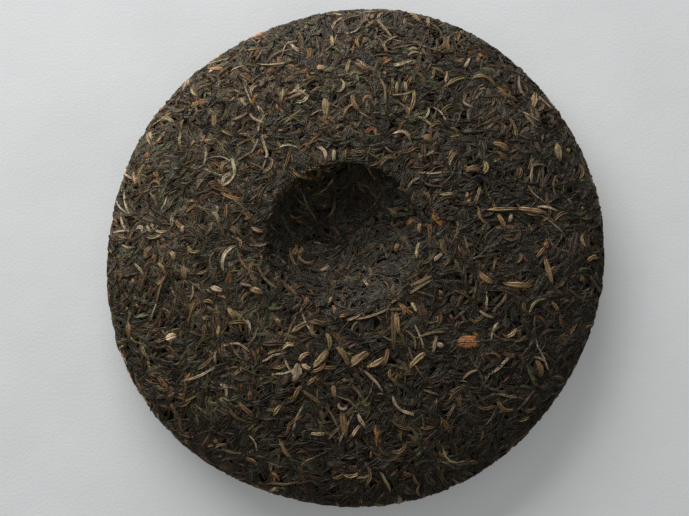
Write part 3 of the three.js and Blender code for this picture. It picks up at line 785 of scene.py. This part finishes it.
def make_core(material):
    """The mass of pressed leaf under the leaves that show, spun from the section"""
    deselect()
    bpy.ops.mesh.primitive_uv_sphere_add(segments=CORE_SECTORS, ring_count=CORE_RINGS, radius=1)
    core = bpy.context.object
    core.name = "pressed_core"
    points = points_of(core.data)
    angle = np.arctan2(points[:, 1], points[:, 0])
    length = SECTION_LENGTH * np.arccos(np.clip(points[:, 2], -1, 1)) / math.pi
    on_back = length < WIDEST
    distance = np.where(on_back, length, SECTION_LENGTH - length)
    u, v = distance * np.cos(angle), distance * np.sin(angle)
    skin = skin_point(length, angle)
    normal = map_directions(u, v, on_back)[2]
    grain = 1
    for waves in CORE_WAVES:
        grain = grain * np.sin(sum(count * skin[:, axis] for axis, count in enumerate(waves)))
    depth = CORE_DEPTH + CORE_GRAIN * (0.5 + 0.5 * grain)
    laid = press_into_box(skin - normal * depth[:, None])
    core.data.vertices.foreach_set("co", laid.astype(np.float32).ravel())
    core.data.update()
    bpy.ops.object.shade_smooth()
    finish_piece(core, material)


# Materials. A mask's two values are where its noise or distance gives 0 and 1.

STREAK_MASKS = {"Streaks": (1.0, 0.34, 0.66), "Fibres": (3.1, 0.3, 0.7)}  # scale, then the mask
BLOTCH_MASKS = {"Stain": (420, 0.42, 0.62), "Dust": (75, 0.38, 0.68), "Pits": (1700, 0.35, 0.7)}
STREAK_DETAIL = 2.0
BLOTCH_DETAIL = 3.0
RUBBED_MASK = (0.35, 0.0)
BODY_MASK = (0.5, 0.2)
OWN_FACTORS = {"Hue": 3.7, "Shade": 8.3}
STAIN_SHARE = 0.6
FIBRE_SHARE = 0.35
WORN_LIGHT = (1.5, 1.5, 1.5, 1)
PIT_ROUGHNESS = 0.15
SHADE_ROUGHNESS = 0.2
FIBRE_RELIEF = 0.35
PIT_RELIEF = 0.4
SHEEN = 0.47
SHEEN_TINT = (1.0, 0.92, 0.78, 1)
CORE_COLOURS = [(0.005, 0.004, 0.003, 1), (0.014, 0.010, 0.006, 1)]
CORE_ROUGHNESS = 0.7
CORE_PIT_ROUGHNESS = 0.2
CORE_SHEEN = 0.15
CORE_RELIEF = 0.0004

# Tints that the leaves of one kind differ by: greenish, plain, rusty and mauve
DARK_TINTS = [
    (0.0, (0.60, 1.08, 0.84)), (0.2, (0.84, 1.14, 0.60)), (0.45, (1.0, 0.98, 0.92)),
    (0.65, (1.18, 0.94, 0.76)), (0.82, (1.32, 0.86, 0.68)), (1.0, (1.06, 0.86, 1.12)),
]
WARM_TINTS = [(0.0, (0.94, 1.0, 0.80)), (0.5, (1.0, 1.0, 1.0)), (1.0, (1.14, 0.90, 0.84))]
TAN_TIP = (0.048, 0.033, 0.017)
BROWN_TIP = (0.085, 0.045, 0.018)

# What stains a leaf
RUST = (0.056, 0.025, 0.010)
UMBER = (0.011, 0.008, 0.005)
OLIVE = (0.031, 0.028, 0.013)
OCHRE = (0.15, 0.085, 0.034)
STRAW = (0.20, 0.15, 0.09)

# The leaves' own colours, from a tone of 0 to one of 1
BLACK = [(0.0, (0.0045, 0.0037, 0.0024)), (0.6, (0.0115, 0.009, 0.006)), (1.0, (0.044, 0.034, 0.022))]
BROWN = [(0.0, (0.007, 0.0053, 0.0032)), (0.65, (0.0268, 0.0193, 0.0115)), (1.0, (0.138, 0.097, 0.057))]
BLADES = [(0.0, (0.0055, 0.0043, 0.0027)), (0.7, (0.020, 0.0155, 0.0096)), (1.0, (0.092, 0.070, 0.043))]
RUSTY = [(0.0, (0.016, 0.010, 0.006)), (0.7, (0.058, 0.032, 0.016)), (1.0, (0.31, 0.135, 0.036))]
RIBS = [(0.0, (0.014, 0.010, 0.006)), (0.7, (0.054, 0.040, 0.023)), (1.0, (0.16, 0.122, 0.078))]
GOLDEN = [
    (0.0, (0.030, 0.018, 0.008)), (0.5, (0.092, 0.061, 0.027)),
    (0.8, (0.28, 0.200, 0.096)), (1.0, (0.57, 0.480, 0.335)),
]
PALE = [(0.0, (0.045, 0.033, 0.018)), (0.6, (0.17, 0.118, 0.064)), (1.0, (0.55, 0.465, 0.325))]
SCRAPS = [(0.0, (0.007, 0.005, 0.003)), (0.75, (0.036, 0.026, 0.015)), (1.0, (0.25, 0.165, 0.084))]


def add(tree, kind, inputs=None, **settings):
    """A node with its settings, and each named input linked from a socket or given a value"""
    node = tree.nodes.new(kind)
    for name, value in settings.items():
        setattr(node, name, value)
    for name, value in (inputs or {}).items():
        if isinstance(value, bpy.types.NodeSocket):
            tree.links.new(value, node.inputs[name])
        else:
            node.inputs[name].default_value = value
    return node


def maths(tree, operation, first, second=0.0):
    return add(tree, "ShaderNodeMath", {0: first, 1: second}, operation=operation).outputs[0]


def mixed(tree, factor, first, second, blend="MIX"):
    """One colour blended over another"""
    node = add(tree, "ShaderNodeMix", data_type="RGBA", blend_type=blend)
    for place, value in ((0, factor), (6, first), (7, second)):
        if isinstance(value, bpy.types.NodeSocket):
            tree.links.new(value, node.inputs[place])
        else:
            node.inputs[place].default_value = value
    return node.outputs[2]


def noise(tree, place, scale, detail):
    given = {"Vector": place, "Scale": scale, "Detail": detail}
    return add(tree, "ShaderNodeTexNoise", given).outputs["Fac"]


def numbers_of(tree, name):
    """The three numbers of one of the leaves' attributes"""
    attribute = add(tree, "ShaderNodeAttribute", attribute_name=name)
    return add(tree, "ShaderNodeSeparateXYZ", {0: attribute.outputs["Vector"]}).outputs


def masked(tree, value, low, high):
    """0 at low and 1 at high, with a smooth step between"""
    node = add(tree, "ShaderNodeMapRange", {"Value": value, "From Min": low, "From Max": high})
    node.interpolation_type = "SMOOTHSTEP"
    return node.outputs["Result"]


def new_group(name, inputs, outputs):
    tree = bpy.data.node_groups.new(name, "ShaderNodeTree")
    for label, value in inputs.items():
        socket = tree.interface.new_socket(label, in_out="INPUT", socket_type="NodeSocketFloat")
        socket.default_value = value
    for label in outputs:
        tree.interface.new_socket(label, in_out="OUTPUT", socket_type="NodeSocketFloat")
    return tree, add(tree, "NodeGroupInput"), add(tree, "NodeGroupOutput")


def make_streaks():
    """The fibres and fine folds that run along a leaf"""
    tree, given, result = new_group("leaf_streaks", {"Across": 2.2, "Along": 0.18}, ["Streaks", "Fibres"])
    place = numbers_of(tree, PLACE)
    along = maths(tree, "MULTIPLY", place["X"], given.outputs["Along"])
    across = maths(tree, "MULTIPLY", place["Y"], given.outputs["Across"])
    spot = add(tree, "ShaderNodeCombineXYZ", {"X": along, "Y": across, "Z": place["Z"]}).outputs[0]
    for label, (scale, low, high) in STREAK_MASKS.items():
        streaks = masked(tree, noise(tree, spot, scale, STREAK_DETAIL), low, high)
        tree.links.new(streaks, result.inputs[label])
    return tree


def make_blotches():
    """Stained and dusty patches in the pressed mass, larger and smaller than a leaf"""
    tree, given, result = new_group("leaf_blotches", {"Scale": 1.0}, ["Stain", "Dust", "Pits"])
    coords = add(tree, "ShaderNodeTexCoord").outputs["Object"]
    for label, (fineness, low, high) in BLOTCH_MASKS.items():
        scale = maths(tree, "MULTIPLY", given.outputs["Scale"], fineness)
        blotches = masked(tree, noise(tree, coords, scale, BLOTCH_DETAIL), low, high)
        tree.links.new(blotches, result.inputs[label])
    return tree


def make_wear():
    """Where a leaf's two ridges are rubbed, and how far in it is from its tips"""
    tree, given, result = new_group("leaf_wear", {"Ridge": 0.5}, ["Rubbed", "Body"])
    form = numbers_of(tree, FORM)
    side = maths(tree, "ABSOLUTE", form["Z"])
    off_ridge = maths(tree, "ABSOLUTE", maths(tree, "SUBTRACT", side, given.outputs["Ridge"]))
    tree.links.new(masked(tree, off_ridge, *RUBBED_MASK), result.inputs["Rubbed"])
    off_middle = maths(tree, "ABSOLUTE", maths(tree, "SUBTRACT", form["Y"], 0.5))
    tree.links.new(masked(tree, off_middle, *BODY_MASK), result.inputs["Body"])
    return tree


def make_hue():
    """A number of a leaf's own, for its hue, and one for how it has dried"""
    tree, _, result = new_group("leaf_hue", {}, ["Hue", "Shade"])
    own = numbers_of(tree, PLACE)["Z"]
    for label, factor in OWN_FACTORS.items():
        number = maths(tree, "MULTIPLY", own, factor)
        drawn = add(tree, "ShaderNodeTexWhiteNoise", {"W": number}, noise_dimensions="1D")
        tree.links.new(drawn.outputs["Value"], result.inputs[label])
    return tree


def new_material(name):
    material = bpy.data.materials.new(name)
    material.use_nodes = True
    tree = material.node_tree
    tree.nodes.clear()
    shader = add(tree, "ShaderNodeBsdfPrincipled")
    output = add(tree, "ShaderNodeOutputMaterial")
    tree.links.new(shader.outputs["BSDF"], output.inputs["Surface"])
    return material, tree, shader


def ramp(tree, factor, colours):
    node = add(tree, "ShaderNodeValToRGB", {"Fac": factor})
    elements = node.color_ramp.elements
    while len(elements) < len(colours):
        elements.new(0.5)
    for element, (place, colour) in zip(elements, colours):
        element.position = place
        element.color = (*colour, 1)
    return node.outputs["Color"]


def raise_relief(tree, shader, height, distance, strength=1.0):
    given = {"Strength": strength, "Distance": distance, "Height": height}
    bump = add(tree, "ShaderNodeBump", given)
    tree.links.new(bump.outputs["Normal"], shader.inputs["Normal"])


def leaf_material(
    name, groups, colours, stain, roughness, tints=DARK_TINTS, tip=TAN_TIP,
    streak=0.6, rubbed=0.35, relief=0.00028, across=2.2,
):
    """A leaf's colour by its tone, which holds painted light and shade, and by its own hue, with tips of
    another, stained in patches, streaked along its fibres and rubbed lighter on its ridges"""
    material, tree, shader = new_material(name)
    streaks, blotches, wear, own = (
        add(tree, "ShaderNodeGroup", node_tree=groups[label])
        for label in ("streaks", "blotches", "wear", "hue")
    )
    streaks.inputs["Across"].default_value = across
    stained, dust, pits = (blotches.outputs[label] for label in ("Stain", "Dust", "Pits"))
    folds, fibres, shade = streaks.outputs["Streaks"], streaks.outputs["Fibres"], own.outputs["Shade"]

    colour = ramp(tree, numbers_of(tree, FORM)["X"], colours)
    colour = mixed(tree, 1.0, colour, ramp(tree, own.outputs["Hue"], tints), "MULTIPLY")
    tipped = maths(tree, "MULTIPLY", maths(tree, "SUBTRACT", 1.0, wear.outputs["Body"]), shade)
    colour = mixed(tree, tipped, colour, (*tip, 1))
    colour = mixed(tree, maths(tree, "MULTIPLY", stained, STAIN_SHARE), colour, (*stain, 1))
    less, more = 1 - streak, 1 + streak
    dark = mixed(tree, 1.0, colour, (less, less, less, 1), "MULTIPLY")
    light = mixed(tree, 1.0, colour, (more, more, more, 1), "MULTIPLY")
    colour = mixed(tree, folds, dark, light)
    colour = mixed(tree, maths(tree, "MULTIPLY", fibres, FIBRE_SHARE), colour, light)
    worn = maths(tree, "MULTIPLY", wear.outputs["Rubbed"], rubbed)
    worn = maths(tree, "MULTIPLY", worn, dust)
    colour = mixed(tree, worn, colour, mixed(tree, 1.0, light, WORN_LIGHT, "MULTIPLY"))
    tree.links.new(colour, shader.inputs["Base Color"])

    rough = maths(tree, "MULTIPLY", pits, PIT_ROUGHNESS)
    rough = maths(tree, "ADD", rough, maths(tree, "MULTIPLY", shade, SHADE_ROUGHNESS))
    tree.links.new(maths(tree, "ADD", rough, roughness), shader.inputs["Roughness"])
    height = maths(tree, "ADD", folds, maths(tree, "MULTIPLY", fibres, FIBRE_RELIEF))
    height = maths(tree, "ADD", height, maths(tree, "MULTIPLY", pits, PIT_RELIEF))
    raise_relief(tree, shader, height, relief)
    shader.inputs["Specular IOR Level"].default_value = SHEEN
    shader.inputs["Specular Tint"].default_value = SHEEN_TINT
    return material


def core_material(groups):
    """Dark leaf that shows only between the others"""
    material, tree, shader = new_material("pressed_mass")
    blotches = add(tree, "ShaderNodeGroup", node_tree=groups["blotches"])
    pits = blotches.outputs["Pits"]
    colour = mixed(tree, blotches.outputs["Stain"], *CORE_COLOURS)
    tree.links.new(colour, shader.inputs["Base Color"])
    rough = maths(tree, "ADD", maths(tree, "MULTIPLY", pits, CORE_PIT_ROUGHNESS), CORE_ROUGHNESS)
    tree.links.new(rough, shader.inputs["Roughness"])
    shader.inputs["Specular IOR Level"].default_value = CORE_SHEEN
    raise_relief(tree, shader, pits, CORE_RELIEF)
    return material


def make_materials():
    groups = {
        "streaks": make_streaks(), "blotches": make_blotches(), "wear": make_wear(), "hue": make_hue(),
    }
    warm = dict(tints=WARM_TINTS, tip=BROWN_TIP)
    finishes = {
        "black_leaves": ("black_leaf", BLACK, UMBER, 0.30, dict(streak=0.55)),
        "brown_leaves": ("brown_leaf", BROWN, UMBER, 0.34, {}),
        "folded_blades": ("folded_blade", BLADES, OLIVE, 0.30, dict(relief=0.00035, across=1.8)),
        "rusty_blades": ("rusty_blade", RUSTY, UMBER, 0.36, dict(tints=WARM_TINTS, across=1.8)),
        "leaf_ribs": ("leaf_rib", RIBS, UMBER, 0.38, dict(streak=0.5)),
        "golden_buds": ("golden_bud", GOLDEN, OCHRE, 0.42, dict(warm, streak=0.5, rubbed=0.5)),
        "pale_stems": ("pale_stem", PALE, STRAW, 0.40, dict(warm, streak=0.35, rubbed=0.4)),
        "leaf_scraps": ("leaf_scrap", SCRAPS, RUST, 0.36, {}),
    }
    materials = {"core": core_material(groups)}
    for kind, (name, colours, stain, roughness, changes) in finishes.items():
        materials[kind] = leaf_material(name, groups, colours, stain, roughness, **changes)
    return materials


# The floor, the light and the camera

def floor_material():
    """Pale paper with a faint, uneven grain"""
    material, tree, shader = new_material("pale_floor")
    coords = add(tree, "ShaderNodeTexCoord").outputs["Object"]
    clouds = noise(tree, coords, FLOOR_CLOUDS, BLOTCH_DETAIL)
    fibres = noise(tree, coords, FLOOR_FIBRES, STREAK_DETAIL)
    colour = mixed(tree, masked(tree, clouds, *FLOOR_MASK), *FLOOR_COLOURS)
    tree.links.new(colour, shader.inputs["Base Color"])
    height = maths(tree, "ADD", maths(tree, "MULTIPLY", clouds, FLOOR_UNEVEN), fibres)
    raise_relief(tree, shader, height, FLOOR_RELIEF, FLOOR_BUMPS)
    shader.inputs["Roughness"].default_value = FLOOR_ROUGHNESS
    shader.inputs["Specular IOR Level"].default_value = FLOOR_SHEEN
    # painted light: the paper glows a little though it is no lamp, which keeps its shadows pale
    shader.inputs["Emission Color"].default_value = GLOW_COLOUR
    shader.inputs["Emission Strength"].default_value = FLOOR_GLOW
    return material


def make_stage():
    deselect()
    bpy.ops.mesh.primitive_plane_add(size=FLOOR_SIZE, location=(0, 0, 0))
    floor = bpy.context.object
    floor.name = "floor"
    floor.data.materials.append(floor_material())


def make_light():
    world = bpy.data.worlds.new("studio")
    bpy.context.scene.world = world
    world.use_nodes = True
    background = world.node_tree.nodes["Background"]
    background.inputs["Color"].default_value = SKY_COLOUR
    background.inputs["Strength"].default_value = SKY_STRENGTH
    level, up = math.cos(WINDOW_ELEVATION), math.sin(WINDOW_ELEVATION)
    away = Vector((math.cos(WINDOW_AZIMUTH) * level, math.sin(WINDOW_AZIMUTH) * level, up))
    deselect()
    bpy.ops.object.light_add(type="AREA", location=away * WINDOW_DISTANCE)
    window = bpy.context.object
    window.name = "window_light"
    window.data.shape = "RECTANGLE"
    window.data.size, window.data.size_y = WINDOW_SIZE
    window.data.energy = WINDOW_POWER
    window.rotation_euler = (-away).to_track_quat("-Z", "Y").to_euler()


def make_camera():
    data = bpy.data.cameras.new("camera")
    data.lens = LENS
    data.sensor_width = SENSOR
    data.clip_start = NEAREST
    camera = bpy.data.objects.new("camera", data)
    camera.location = CAMERA_TARGET + CAMERA_BACK * CAMERA_DISTANCE
    camera.rotation_euler = (-CAMERA_BACK).to_track_quat("-Z", "Y").to_euler()
    bpy.context.scene.collection.objects.link(camera)
    bpy.context.scene.camera = camera


bpy.context.scene.view_settings.view_transform = "Standard"
make_camera()
materials = make_materials()
make_core(materials["core"])
make_leaves(materials)
make_stage()
make_light()
